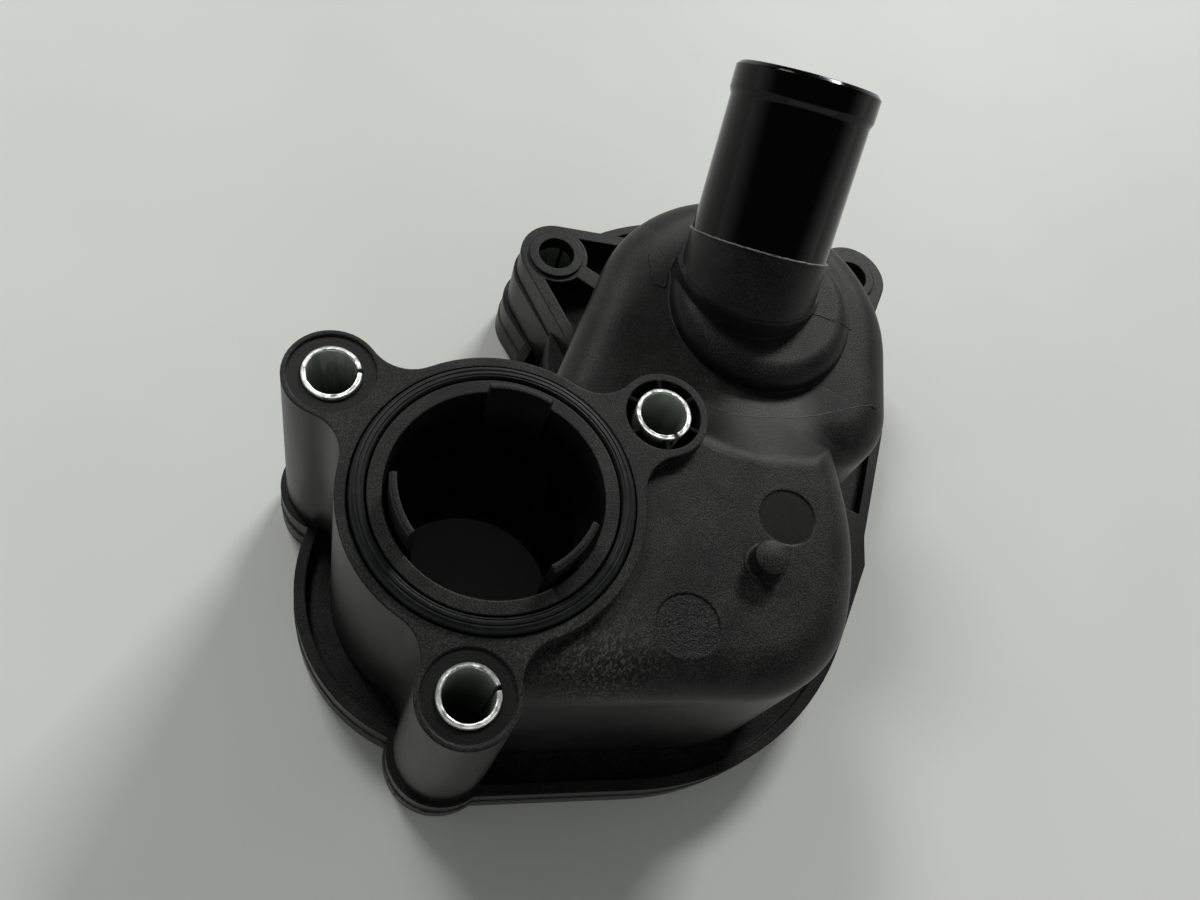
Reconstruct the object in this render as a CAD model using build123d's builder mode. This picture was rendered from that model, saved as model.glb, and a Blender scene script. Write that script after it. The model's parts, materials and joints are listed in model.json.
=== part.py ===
from build123d import *
import os
from math import acos, atan2, cos, degrees, hypot, radians, sin, tan

# Coolant water outlet, in millimetres. The origin is on the underside mounting face, on the axis of the
# thermostat bore, with +Z out of the bore. Every height is measured from that mounting face.

# Moulding rules
wall = 3.5
draft_angle = 1.5
fit_clearance = 0.05
cut_margin = 1.0

# Heights of the main levels
face_height = 64.0
deck_drop = 2.5
roof_drop = 9.0
ear_height = 33.0
shell_height = 6.0
flange_thickness = 4.0
lip_rise = 3.0

# Neck round the thermostat bore
bore_radius = 19.5
land_width = 2.6
land_rise = 1.0
groove_width = 3.4
groove_depth = 3.0
rim_width = 1.9
bore_depth = 14.0
ledge_width = 2.3
ledge_thickness = 4.0

# Clips that hold the thermostat
clip_count = 3
clip_first_angle = 104.0
clip_sweep = 37.0
clip_thickness = 1.3
clip_rise = 7.0
clip_edge = 0.5

# Bolt bosses and their rolled steel sleeves
boss_left = (-36.0, 6.4)
boss_right = (20.3, 30.2)
boss_front = (11.95, -33.1)
boss_radius = 8.8
boss_blend = 8.0
sleeve_inner_radius = 4.4
sleeve_wall = 1.0
sleeve_slit = 0.9
sleeve_rise = 0.4
sleeve_edge = 0.2
slit_angle_left = 34.0
slit_angle_right = -38.0
slit_angle_front = 41.0
ear_slit_angle = 90.0
boss_recess_radius = 7.9
boss_recess_depth = 0.4
boss_pocket_radius = 7.25
boss_pocket_depth = 8.0
crush_rib_count = 6
crush_rib_width = 0.8

# Deck beside the neck
deck_edge_radius = 8.0
deck_front_direction = 28.0
deck_front_length = 51.6
deck_corner_radius = 22.7
deck_corner_sweep = 69.0
deck_side_radius = 59.5
deck_side_sweep = 26.4
deck_front_inset = 1.1
deck_tail_length = 24.0
deck_left_foot = (3.0, 27.0)
deck_left_waist = (12.0, 39.0)
deck_left_end = (20.0, 44.0)
valley_first_angle = -135.0
valley_last_angle = 10.0
valley_angle = 25.0
valley_radius = 3.0
deck_rear_radius = 6.5
peg_position = (48.8, 13.8)
peg_radius = 2.6
peg_height = 4.0
peg_edge = 0.5
date_disc_position = (40.4, -4.4)
date_disc_radius = 5.9
smooth_disc_position = (49.8, 24.0)
smooth_disc_radius = 5.6
disc_mark_depth = 0.2

# Tower that carries the elbow
tower_position = (28.2, 68.4)
tower_radius = 33.0
tower_edge_radius = 8.0
shoulder_position = (50.5, 59.5)
shoulder_radius = 14.4
bridge_position = (9.0, 36.0)
bridge_radius = 11.0
bridge_root_radius = 18.0
bead_position = (29.3, 70.0)
bead_radius = 20.0
bead_height = 5.0
bead_edge_radius = 4.5

# Elbow and hose pipe
elbow_position = (24.1, 73.2)
elbow_radius = 14.8
elbow_height = 59.2
elbow_foot_taper = 6.0
elbow_mitre_step = 0.2
pipe_azimuth = 106.0
pipe_tilt = 45.0
pipe_radius = 14.5
pipe_bore_radius = 11.5
pipe_length = 41.0
pipe_collar_length = 6.9
pipe_band_length = 5.3
pipe_band_rise = 0.5
pipe_band_shoulder = 1.2
pipe_mouth_edge = 0.8

# Mounting ears and their sleeves
ear_left = (-17.5, 74.9)
ear_right = (48.7, 110.2)
ear_left_lobe = 9.0
ear_right_lobe = 9.8
ear_left_roots = ((1.8, 49.5), (8.0, 94.2))
ear_right_roots = ((58.2, 84.0), (29.6, 98.4))
ear_foot_margin = 1.0
skirt_radius = 39.6
skirt_centre = (-5.0, 50.0)
skirt_size = (22.0, 24.0)
ear_hole_radius = 4.2
ear_ring_radius = 6.4
ear_ring_rise = 0.6
ear_web = 2.8
ear_rib = 4.0
ear_pocket_ring = 7.6
ear_pocket_depth = 5.8
ear_step_drop = 7.5
ear_step_width = 0.6
ear_sleeve_wall = 1.0
ear_sleeve_recess = 3.0

# Base flange and the lower shell welded to it
flange_radius = 36.2
flange_lobe_radius = 11.5
flange_rear_centre = (29.3, 70.0)
flange_rear_radius = 53.3
flange_front_start = (20.3, -39.6)
flange_front_length = 36.1
flange_corner_radius = 57.0
flange_step_low = (82.2, 49.5)
flange_step_high = (79.8, 56.5)
flange_rear_start = (75.4, 87.0)
flange_rear_end = 160.0
flange_left_high = (-16.0, 61.0)
flange_left_low = (-15.0, 30.0)
flange_fill_centre = (78.0, 54.0)
flange_fill_size = (16.0, 15.0)
flange_lip = 2.4
shell_margin = 0.3
port_radius = 20.3
port_ledge_width = 3.0
port_ledge_depth = 2.0
base_groove_gap = 5.5
base_groove_width = 3.4
base_groove_depth = 2.6

# Rubber rings
ring_side_gap = 0.3
ring_proud = 1.5
ring_crown = 0.9

# Heights and radii that follow from the sizes above
deck_height = face_height - deck_drop
roof_height = face_height - roof_drop
flange_top = shell_height + flange_thickness
land_radius = bore_radius + land_width
groove_radius = land_radius + groove_width
rim_radius = groove_radius + rim_width
sleeve_radius = sleeve_inner_radius + sleeve_wall
sleeve_hole_radius = sleeve_radius + fit_clearance
ear_sleeve_radius = ear_hole_radius + ear_sleeve_wall
base_groove_radius = port_radius + base_groove_gap
clip_inner_radius = bore_radius - ledge_width
ledge_top = face_height - bore_depth
ledge_base = ledge_top - ledge_thickness
skirt_top = ear_height - ear_pocket_depth
roof_edge = tower_radius - tower_edge_radius
bosses = [boss_left, boss_right, boss_front]
ears = [(ear_left, ear_left_lobe, ear_left_roots), (ear_right, ear_right_lobe, ear_right_roots)]


def ear_outline(hole, lobe, roots):
    """The outline of an ear: its lobe drawn out to two points on the tower."""
    with BuildSketch() as outline:
        with BuildLine():
            CenterArc(hole, lobe, 0, 360)
            Line(*roots)
        make_hull()
    return outline.sketch


def drawn_out(position, radius, far_position, far_radius):
    """The outline of a large circle drawn out to a smaller one by two tangent lines."""
    offset_x = far_position[0] - position[0]
    offset_y = far_position[1] - position[1]
    span = hypot(offset_x, offset_y)
    heading = degrees(atan2(offset_y, offset_x))
    spread = degrees(acos((radius - far_radius) / span))
    with BuildSketch() as outline:
        with BuildLine():
            far = CenterArc(far_position, far_radius, heading - spread, 2 * spread)
            near = CenterArc(position, radius, heading + spread, 360 - 2 * spread)
            Line(far @ 1, near @ 0)
            Line(near @ 1, far @ 0)
        make_face()
    return outline.sketch


def draft(height):
    """How far a drafted wall spreads over a height."""
    return height * tan(radians(draft_angle))


def outside_neck(edge):
    """Whether an edge lies clear of the neck, so that it shows."""
    middle = edge @ 0.5
    return hypot(middle.X, middle.Y) > neck_foot_radius


def outside_tower(edge):
    """Whether an edge lies clear of the tower, so that it shows."""
    middle = edge @ 0.5
    return hypot(middle.X - tower_position[0], middle.Y - tower_position[1]) > roof_edge


def polar(start, angle, distance):
    """The point at a distance and an angle from a start point."""
    return (start[0] + distance * cos(radians(angle)), start[1] + distance * sin(radians(angle)))


# The valley between the deck and the tower, as heights above the roof and radii about the tower's axis
valley_rise = deck_height - roof_height
valley_centre = valley_radius * cos(radians(valley_angle)) - tower_edge_radius * (1 - cos(radians(valley_angle)))
valley_depth = valley_radius - valley_centre
valley_climb = degrees(acos((valley_centre + deck_rear_radius - valley_rise) / (valley_radius + deck_rear_radius)))
valley_middle = roof_edge + (tower_edge_radius + valley_radius) * sin(radians(valley_angle))
valley_reach = valley_middle + (valley_radius + deck_rear_radius) * sin(radians(valley_climb))

# The wall feet, which every drafted block starts from
neck_foot = draft(face_height - flange_top)
tower_foot = draft(roof_height - flange_top)
neck_foot_radius = rim_radius + neck_foot

# Outline of the deck at its foot
deck_start = polar(boss_front, deck_front_direction - 90, deck_front_inset)

with BuildSketch() as deck_outline:
    with BuildLine():
        front = PolarLine(deck_start, deck_front_length, deck_front_direction)
        corner = JernArc(front @ 1, front % 1, deck_corner_radius, deck_corner_sweep)
        side = JernArc(corner @ 1, corner % 1, deck_side_radius, deck_side_sweep)
        tail = Line(side @ 1, (side @ 1) + (side % 1) * deck_tail_length)
        Polyline(tail @ 1, deck_left_end, deck_left_waist, deck_left_foot, (0, 0), deck_start)
    make_face()

with BuildPart() as deck_block:
    with BuildSketch(Plane.XY.offset(flange_top)):
        add(deck_outline.sketch)
    extrude(amount=deck_height - flange_top, taper=draft_angle)
    deck_edges = deck_block.faces().sort_by(Axis.Z)[-1].edges().filter_by(outside_neck)
    fillet(deck_edges.filter_by(outside_tower), deck_edge_radius)

# The tower is drawn out to its shoulder, and leans on the neck through a bridge at roof height
tower_reach = tower_radius + tower_foot
tower_outline = drawn_out(tower_position, tower_reach, shoulder_position, shoulder_radius + tower_foot)
bridge_root = (tower_position[0] - tower_radius + bridge_root_radius, tower_position[1])
root_reach = bridge_root_radius + tower_foot
bridge_outline = drawn_out(bridge_root, root_reach, bridge_position, bridge_radius + tower_foot)

with BuildPart() as tower_block:
    with BuildSketch(Plane.XY.offset(flange_top)):
        add(tower_outline)
    extrude(amount=roof_height - flange_top, taper=draft_angle)
    fillet(tower_block.faces().sort_by(Axis.Z)[-1].edges(), tower_edge_radius)

with BuildPart() as bridge_block:
    with BuildSketch(Plane.XY.offset(flange_top)):
        add(bridge_outline)
    extrude(amount=roof_height - flange_top, taper=draft_angle)
    fillet(bridge_block.faces().sort_by(Axis.Z)[-1].edges(), tower_edge_radius)

# Outline of the neck and its three bosses at their foot, with the bridge fused to the neck
with BuildSketch() as neck_outline:
    Circle(neck_foot_radius)
    with Locations(*bosses):
        Circle(boss_radius + neck_foot)
    fillet(neck_outline.vertices(), boss_blend - neck_foot)

with BuildPart() as neck_block:
    with BuildSketch(Plane.XY.offset(flange_top)):
        add(neck_outline.sketch)
    extrude(amount=face_height - flange_top, taper=draft_angle)
    add(bridge_block.part)

# The valley between the deck and the tower follows the tower, the tangent line and the shoulder
shoulder_offset = (shoulder_position[0] - tower_position[0], shoulder_position[1] - tower_position[1])
shoulder_span = hypot(*shoulder_offset)
shoulder_heading = degrees(atan2(shoulder_offset[1], shoulder_offset[0]))
shoulder_spread = degrees(acos((tower_radius - shoulder_radius) / shoulder_span))
shoulder_turn = shoulder_heading - shoulder_spread
tangent_length = shoulder_span * sin(radians(shoulder_spread))


def valley_face(centre, heading, reach):
    """Half section of the valley on an upright plane, beyond a reach of flat roof from the centre."""
    radial = Vector(cos(radians(heading)), sin(radians(heading)), 0)
    across = radial.cross(Vector(0, 0, 1))
    with BuildSketch(Plane((*centre, roof_height), x_dir=radial, z_dir=across)) as face:
        with BuildLine():
            roof_line = Line((0, 0), (reach, 0))
            brow = JernArc(roof_line @ 1, (1, 0), tower_edge_radius, -valley_angle)
            hollow = JernArc(brow @ 1, brow % 1, valley_radius, valley_angle + valley_climb)
            crest = JernArc(hollow @ 1, hollow % 1, deck_rear_radius, -valley_climb)
            cut_top = valley_rise + cut_margin
            Polyline(crest @ 1, (crest @ 1) + Vector(0, cut_margin), (0, cut_top), (0, 0))
        make_face()
    return face.sketch


with BuildPart() as valley_cut:
    add(valley_face(tower_position, valley_first_angle, roof_edge))
    revolve(axis=Axis((*tower_position, 0), (0, 0, 1)), revolution_arc=shoulder_turn - valley_first_angle)
    add(valley_face(tower_position, shoulder_turn, roof_edge))
    extrude(amount=tangent_length, dir=(*polar((0, 0), shoulder_turn + 90, 1), 0))
    add(valley_face(shoulder_position, shoulder_turn, shoulder_radius - tower_edge_radius))
    revolve(axis=Axis((*shoulder_position, 0), (0, 0, 1)), revolution_arc=valley_last_angle - shoulder_turn)

# Bead on the roof, with the elbow standing off its centre and the hose pipe leaning back from it
pipe_lean = (cos(radians(pipe_azimuth)), sin(radians(pipe_azimuth)))
pipe_rise = Vector(*pipe_lean, 0) * sin(radians(pipe_tilt)) + Vector(0, 0, cos(radians(pipe_tilt)))
elbow_point = Vector(*elbow_position, elbow_height)
pipe_across = Vector(pipe_lean[1], -pipe_lean[0], 0)
pipe_round = Plane(origin=elbow_point, x_dir=pipe_across, z_dir=pipe_rise)
pipe_section = Plane(origin=elbow_point, x_dir=pipe_across, z_dir=pipe_across.cross(pipe_rise))
mitre_plane = Plane(origin=elbow_point, x_dir=pipe_across, z_dir=pipe_rise + Vector(0, 0, 1))
band_radius = pipe_radius + pipe_band_rise


def mitred_bar(radius, root_height, length, foot_taper=0, mitre_step=0):
    """A round bar that stands on its root and turns into the pipe's line at a mitre."""
    rise = elbow_height + radius * tan(radians(pipe_tilt / 2)) - root_height
    with BuildPart() as upright:
        with BuildSketch(Plane.XY.offset(root_height)):
            with Locations(elbow_position):
                Circle(radius + mitre_step + rise * tan(radians(foot_taper)))
        extrude(amount=rise + cut_margin, taper=foot_taper)
        split(bisect_by=mitre_plane, keep=Keep.BOTTOM)
    with BuildPart() as bar:
        with BuildSketch(pipe_round.offset(-radius)):
            Circle(radius)
        extrude(amount=radius + length)
        split(bisect_by=mitre_plane, keep=Keep.TOP)
        add(upright.part)
    return bar.part


with BuildPart() as elbow_block:
    with BuildSketch(Plane.XY.offset(roof_height)):
        with Locations(bead_position):
            Circle(bead_radius)
    extrude(amount=bead_height)
    fillet(elbow_block.faces().sort_by(Axis.Z)[-1].edges(), bead_edge_radius)
    elbow_root = roof_height - wall
    add(mitred_bar(elbow_radius, elbow_root, pipe_collar_length, elbow_foot_taper, elbow_mitre_step))
    with BuildSketch(pipe_section):
        with BuildLine():
            band_start = pipe_length - pipe_band_length
            Polyline((0, 0), (pipe_radius, 0), (pipe_radius, band_start - pipe_band_shoulder),
                     (band_radius, band_start), (band_radius, pipe_length), (0, pipe_length), close=True)
        make_face()
    revolve(axis=Axis(elbow_point, pipe_rise))
    chamfer(elbow_block.faces().sort_by(Axis(elbow_point, pipe_rise))[-1].edges(), pipe_mouth_edge)

# Way for the coolant through the elbow and the pipe
pipe_bore = mitred_bar(pipe_bore_radius, roof_height - 2 * wall, pipe_length + cut_margin)

# Outline of the low skirt round the tower, between the left ear and the neck
with BuildSketch() as skirt_outline:
    with Locations(tower_position):
        Circle(skirt_radius)
    with Locations(skirt_centre):
        Rectangle(*skirt_size, mode=Mode.INTERSECT)

# Chamber inside the deck, tower, skirt and neck, with the boss columns left standing
with BuildPart() as deck_chamber:
    with BuildSketch(Plane.XY.offset(shell_height)):
        add(deck_outline.sketch)
        offset(amount=-wall, mode=Mode.REPLACE)
    extrude(amount=deck_height - wall - shell_height, taper=draft_angle)
    with BuildSketch(Plane.XY.offset(roof_height - wall - valley_depth)):
        with Locations(tower_position):
            Circle(valley_reach + wall)
    extrude(amount=face_height, mode=Mode.SUBTRACT)
    with BuildSketch(Plane.XY.offset(ledge_base)):
        Circle(bore_radius + wall)
    extrude(amount=face_height, mode=Mode.SUBTRACT)

with BuildPart() as chamber:
    with BuildSketch(Plane.XY.offset(shell_height)):
        with Locations(tower_position):
            Circle(tower_radius - wall)
    extrude(amount=roof_height - wall - shell_height)
    chamfer(chamber.faces().sort_by(Axis.Z)[-1].edges(), wall)
    add(deck_chamber.part)
    with BuildSketch(Plane.XY.offset(shell_height)):
        add(skirt_outline.sketch)
        offset(amount=-wall, mode=Mode.REPLACE)
    extrude(amount=skirt_top - wall - shell_height)
    with BuildSketch(Plane.XY.offset(shell_height)):
        Circle(rim_radius - wall)
    extrude(amount=ledge_base - shell_height)
    with BuildSketch(Plane.XY.offset(shell_height)):
        with Locations(*bosses):
            Circle(boss_radius + neck_foot)
    extrude(amount=face_height, mode=Mode.SUBTRACT)

# Peg that locates the neighbouring part on the deck, rooted in the deck's wall
with BuildPart() as peg:
    with BuildSketch(Plane.XY.offset(deck_height - wall / 2)):
        with Locations(peg_position):
            Circle(peg_radius)
    extrude(amount=peg_height + wall / 2)
    chamfer(peg.faces().sort_by(Axis.Z)[-1].edges(), peg_edge)

# Outline of the base flange, which the lower shell shares
with BuildSketch() as flange_outline:
    Circle(flange_radius)
    with Locations(boss_left, boss_front):
        Circle(flange_lobe_radius)
    with BuildLine():
        flange_front = PolarLine(flange_front_start, flange_front_length, deck_front_direction)
        turn = 90 - deck_front_direction
        flange_corner = JernArc(flange_front @ 1, flange_front % 1, flange_corner_radius, turn)
        flange_side = Polyline(flange_corner @ 1, flange_step_low, flange_step_high, flange_rear_start)
        rear_top = polar(flange_rear_centre, 90, flange_rear_radius)
        rear_end = polar(flange_rear_centre, flange_rear_end, flange_rear_radius)
        ThreePointArc(flange_side @ 1, rear_top, rear_end)
        Polyline(rear_end, flange_left_high, flange_left_low, (0, 0), flange_front_start)
    make_face()
    add(ear_outline(ear_left, ear_left_lobe + ear_foot_margin, ear_left_roots))
    add(ear_outline(ear_right, ear_right_lobe + ear_foot_margin, ear_right_roots))

# The one moulding that carries everything
with BuildPart() as upper_housing:
    with BuildSketch(Plane.XY.offset(shell_height)):
        add(flange_outline.sketch)
    extrude(amount=flange_thickness)
    with BuildSketch(Plane.XY.offset(flange_top)):
        add(flange_outline.sketch)
        offset(amount=-flange_lip, mode=Mode.SUBTRACT)
    extrude(amount=lip_rise)
    with BuildSketch(Plane.XY.offset(flange_top)):
        add(flange_outline.sketch)
        with Locations(flange_fill_centre):
            Rectangle(*flange_fill_size, mode=Mode.INTERSECT)
    extrude(amount=lip_rise)

    # Ears with their pockets, and the skirt beside them
    with BuildSketch(Plane.XY.offset(flange_top)):
        add(skirt_outline.sketch)
    extrude(amount=skirt_top - flange_top)
    for hole, lobe, roots in ears:
        with BuildSketch(Plane.XY.offset(flange_top)):
            add(ear_outline(hole, lobe, roots))
        extrude(amount=ear_height - ear_step_drop - flange_top)
        with BuildSketch(Plane.XY.offset(ear_height - ear_step_drop)):
            add(ear_outline(hole, lobe - ear_step_width, roots))
        extrude(amount=ear_step_drop)
        rib_turn = degrees(atan2(tower_position[1] - hole[1], tower_position[0] - hole[0]))
        with BuildSketch(Plane.XY.offset(ear_height)):
            add(ear_outline(hole, lobe - ear_step_width, roots))
            offset(amount=-ear_web, mode=Mode.REPLACE)
            with Locations(hole):
                Circle(ear_pocket_ring, mode=Mode.SUBTRACT)
                Rectangle(tower_radius, ear_rib, rotation=rib_turn, align=(Align.MIN, Align.CENTER),
                          mode=Mode.SUBTRACT)
        extrude(amount=-ear_pocket_depth, mode=Mode.SUBTRACT)
        with BuildSketch(Plane.XY.offset(ear_height)):
            with Locations(hole):
                Circle(ear_ring_radius)
        extrude(amount=ear_ring_rise)

    # Deck, tower and neck, then the elbow and the chamber
    add(tower_block.part)
    add(deck_block.part)
    add(valley_cut.part, mode=Mode.SUBTRACT)
    add(neck_block.part)
    add(elbow_block.part)
    add(chamber.part, mode=Mode.SUBTRACT)
    add(pipe_bore, mode=Mode.SUBTRACT)

    # Face of the neck: the bore, its ledge, the raised land and the seal's groove
    with BuildSketch(Plane.XY.offset(face_height)):
        Circle(land_radius)
    extrude(amount=land_rise)
    with BuildSketch(Plane.XY.offset(ledge_top)):
        Circle(bore_radius)
    extrude(amount=face_height, mode=Mode.SUBTRACT)
    with BuildSketch(Plane.XY.offset(ledge_base)):
        Circle(clip_inner_radius)
    extrude(amount=face_height, mode=Mode.SUBTRACT)
    with BuildSketch(Plane.XY.offset(face_height)):
        Circle(groove_radius)
        Circle(land_radius, mode=Mode.SUBTRACT)
    extrude(amount=-groove_depth, mode=Mode.SUBTRACT)

    # Clips that stand on the ledge
    for number in range(clip_count):
        start = clip_first_angle - clip_sweep / 2 + number * 360 / clip_count
        radial = Vector(cos(radians(start)), sin(radians(start)), 0)
        with BuildSketch(Plane(origin=(0, 0, 0), x_dir=radial, z_dir=radial.cross(Vector(0, 0, 1)))):
            with BuildLine():
                clip_top = face_height + clip_rise
                clip_outer = clip_inner_radius + clip_thickness
                clip_root = ledge_top - cut_margin
                Polyline((clip_inner_radius, clip_root), (clip_outer, clip_root),
                         (clip_outer, clip_top - clip_edge), (clip_outer - clip_edge, clip_top),
                         (clip_inner_radius, clip_top), close=True)
            make_face()
        revolve(axis=Axis.Z, revolution_arc=clip_sweep)

    # Bolt bosses: a shallow recess on two of them, an open pocket with crush ribs on the third
    with BuildSketch(Plane.XY.offset(face_height)):
        with Locations(boss_left, boss_front):
            Circle(boss_recess_radius)
    extrude(amount=-boss_recess_depth, mode=Mode.SUBTRACT)
    with BuildSketch(Plane.XY.offset(face_height)):
        with Locations(boss_right):
            Circle(boss_pocket_radius)
            with PolarLocations(sleeve_hole_radius, crush_rib_count):
                Rectangle(boss_radius, crush_rib_width, align=(Align.MIN, Align.CENTER), mode=Mode.SUBTRACT)
    extrude(amount=-boss_pocket_depth, mode=Mode.SUBTRACT)
    with BuildSketch(Plane.XY.offset(shell_height)):
        with Locations(*bosses):
            Circle(sleeve_hole_radius)
    extrude(amount=face_height, mode=Mode.SUBTRACT)

    # Ear holes, wider below for the steel sleeves
    with BuildSketch(Plane.XY.offset(shell_height)):
        with Locations(ear_left, ear_right):
            Circle(ear_hole_radius)
    extrude(amount=ear_height, mode=Mode.SUBTRACT)
    with BuildSketch(Plane.XY.offset(shell_height)):
        with Locations(ear_left, ear_right):
            Circle(ear_sleeve_radius + fit_clearance)
    extrude(amount=ear_height - ear_sleeve_recess - shell_height, mode=Mode.SUBTRACT)

    # Peg and round mould marks on the deck
    add(peg.part)
    with BuildSketch(Plane.XY.offset(deck_height)):
        with Locations(date_disc_position):
            Circle(date_disc_radius)
        with Locations(smooth_disc_position):
            Circle(smooth_disc_radius)
    extrude(amount=-disc_mark_depth, mode=Mode.SUBTRACT)

# The shell that closes the chamber from below, with the port under the neck
with BuildPart() as lower_shell:
    with BuildSketch():
        add(flange_outline.sketch)
        offset(amount=shell_margin, mode=Mode.REPLACE)
    extrude(amount=shell_height)
    with BuildSketch():
        Circle(port_radius)
        with Locations(*bosses):
            Circle(sleeve_hole_radius)
        with Locations(ear_left, ear_right):
            Circle(ear_sleeve_radius + fit_clearance)
    extrude(amount=shell_height, mode=Mode.SUBTRACT)
    with BuildSketch(Plane.XY.offset(shell_height)):
        Circle(port_radius + port_ledge_width)
    extrude(amount=-port_ledge_depth, mode=Mode.SUBTRACT)
    with BuildSketch():
        Circle(base_groove_radius + base_groove_width)
        Circle(base_groove_radius, mode=Mode.SUBTRACT)
    extrude(amount=base_groove_depth, mode=Mode.SUBTRACT)


def rubber_ring(inner_radius, outer_radius, base, top, crown=0):
    """A rubber ring, a little narrower than its groove, with its upper edges taken off by the crown."""
    with BuildPart() as ring:
        with BuildSketch(Plane.XZ) as section:
            with Locations(((inner_radius + outer_radius) / 2, (base + top) / 2)):
                Rectangle(outer_radius - inner_radius - 2 * ring_side_gap, top - base)
            if crown > 0:
                chamfer(section.vertices().group_by(Axis.Z)[-1], crown)
        revolve(axis=Axis.Z)
    return ring.part


def split_sleeve(position, inner_radius, thickness, top, slit_angle):
    """A rolled steel sleeve that stands on the mounting plane, slit along one side."""
    with BuildPart() as sleeve:
        with BuildSketch():
            with Locations(position):
                Circle(inner_radius + thickness)
                Circle(inner_radius, mode=Mode.SUBTRACT)
                Rectangle(inner_radius + 2 * thickness, sleeve_slit, rotation=slit_angle,
                          align=(Align.MIN, Align.CENTER), mode=Mode.SUBTRACT)
        extrude(amount=top)
        chamfer(sleeve.faces().sort_by(Axis.Z)[-1].edges().filter_by(GeomType.CIRCLE), sleeve_edge)
    return sleeve.part


# Rubber rings in the neck's face and in the underside
ring_top = face_height + ring_proud
seal_ring = rubber_ring(land_radius, groove_radius, face_height - groove_depth, ring_top, ring_crown)
base_seal = rubber_ring(base_groove_radius, base_groove_radius + base_groove_width, 0, base_groove_depth)

# Steel sleeves, slit in the bosses and in the ears
sleeve_section = (sleeve_inner_radius, sleeve_wall)
ear_sleeve_section = (ear_hole_radius, ear_sleeve_wall)
sleeve_top = face_height + sleeve_rise
ear_sleeve_top = ear_height - ear_sleeve_recess
pieces = {
    "upper_housing": upper_housing.part,
    "lower_shell": lower_shell.part,
    "seal_ring": seal_ring,
    "base_seal": base_seal,
    "sleeve_left": split_sleeve(boss_left, *sleeve_section, sleeve_top, slit_angle_left),
    "sleeve_right": split_sleeve(boss_right, *sleeve_section, sleeve_top, slit_angle_right),
    "sleeve_front": split_sleeve(boss_front, *sleeve_section, sleeve_top, slit_angle_front),
    "ear_sleeve_left": split_sleeve(ear_left, *ear_sleeve_section, ear_sleeve_top, ear_slit_angle),
    "ear_sleeve_right": split_sleeve(ear_right, *ear_sleeve_section, ear_sleeve_top, ear_slit_angle),
}

os.makedirs("parts", exist_ok=True)
for name, piece in pieces.items():
    piece.label = name
    export_step(piece, f"parts/{name}.step")
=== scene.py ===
"""Looks of the coolant water outlet: the studio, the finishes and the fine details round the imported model.

Lengths in the dataclasses are millimetres, in the CAD model's frame: the origin is on the mounting face, on
the axis of the thermostat bore, with +Z out of the bore. Meshes and lights are made in metres.
"""

from __future__ import annotations

import itertools
import json
import logging
import math
from dataclasses import dataclass
from enum import Enum
from typing import Sequence, Union

import bmesh
import bpy
import numpy as np
from mathutils import Matrix, Vector, noise
from mathutils.bvhtree import BVHTree

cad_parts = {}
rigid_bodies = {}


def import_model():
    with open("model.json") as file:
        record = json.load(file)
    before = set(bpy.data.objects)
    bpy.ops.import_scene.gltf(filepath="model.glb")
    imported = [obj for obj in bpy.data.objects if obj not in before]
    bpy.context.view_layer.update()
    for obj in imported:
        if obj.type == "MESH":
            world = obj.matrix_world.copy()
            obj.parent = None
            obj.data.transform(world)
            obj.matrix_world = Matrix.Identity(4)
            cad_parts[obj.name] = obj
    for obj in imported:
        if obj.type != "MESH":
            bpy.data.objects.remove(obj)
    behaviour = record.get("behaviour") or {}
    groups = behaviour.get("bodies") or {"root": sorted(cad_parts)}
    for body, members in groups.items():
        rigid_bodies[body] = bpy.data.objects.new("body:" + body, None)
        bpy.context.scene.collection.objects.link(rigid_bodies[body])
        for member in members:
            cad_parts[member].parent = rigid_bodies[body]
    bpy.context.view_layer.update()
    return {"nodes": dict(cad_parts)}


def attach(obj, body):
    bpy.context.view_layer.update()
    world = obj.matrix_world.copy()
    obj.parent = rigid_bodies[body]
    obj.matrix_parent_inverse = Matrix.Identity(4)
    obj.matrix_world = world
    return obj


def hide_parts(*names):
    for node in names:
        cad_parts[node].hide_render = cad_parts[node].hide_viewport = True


LOG = logging.getLogger("coolant_outlet")
MM = 0.001
UP = Vector((0.0, 0.0, 1.0))
Socket = bpy.types.NodeSocket
Material = bpy.types.Material
Object = bpy.types.Object
BMesh = bmesh.types.BMesh
Value = Union[float, Socket]
Spot = tuple[float, float]
Round = tuple[Spot, float]
Colour = tuple[float, float, float]
Point = tuple[float, float, float]

# Fine mould marks, as pixels of the photograph from its top left corner.
# The roof line follows a crease of the roof; the raised line laid on it is painted pale as a highlight.
ROOF_LINE = ((703, 403), (733, 415), (760, 417), (793, 418), (820, 415), (860, 406), (873, 405))
LEFT_PARTING = ((649, 253), (653, 283), (664, 287), (667, 276), (678, 257), (688, 228))
RIGHT_PARTING = ((814, 314), (842, 323), (852, 331))


class Slot(Enum):
    """Slots of the part's record, which the scene's own pieces are built with but not given."""

    HOUSING = "housing_nylon"
    SEAL = "seal_rubber"
    SLEEVE = "sleeve_steel"


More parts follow.
